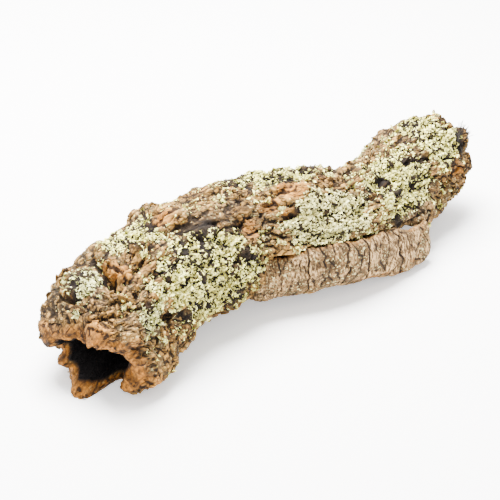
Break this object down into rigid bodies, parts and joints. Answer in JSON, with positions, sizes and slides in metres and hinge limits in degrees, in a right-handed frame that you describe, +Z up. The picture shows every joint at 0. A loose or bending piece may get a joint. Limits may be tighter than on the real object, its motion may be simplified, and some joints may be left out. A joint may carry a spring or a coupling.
{
  "type": "cork branch",
  "caption": "Hollow, bent length of virgin cork bark with a broken mouth, a long split side strip and crusts of lichen, for shelter or decoration.",
  "frame": {"origin": "middle of the bounding box's base, on the surface that the branch lies on", "axes": "+X along the branch from its broken mouth to its far end, -Y towards the side with the long crack and its strip, +Z up"},
  "size_m": [0.5117, 0.1563, 0.1188],
  "materials": {
    "cork": "rough, flaky cork bark",
    "lichen": "matt, crumbly, pale yellow-green lichen",
    "twigs": "matt, almost black dead moss and twigs"
  },
  "bodies": {
    "root": {"bark": "cork", "lichen_by_fold": "lichen", "lichen_at_mouth": "lichen", "lichen_on_shoulder": "lichen", "lichen_on_near_flank": "lichen", "lichen_on_ridge": "lichen", "lichen_along_crack": "lichen", "lichen_on_far_flank": "lichen", "lichen_on_head": "lichen", "lichen_behind": "lichen", "lichen_behind_head": "lichen", "twig_tuft": "twigs"}
  },
  "joints": []
}
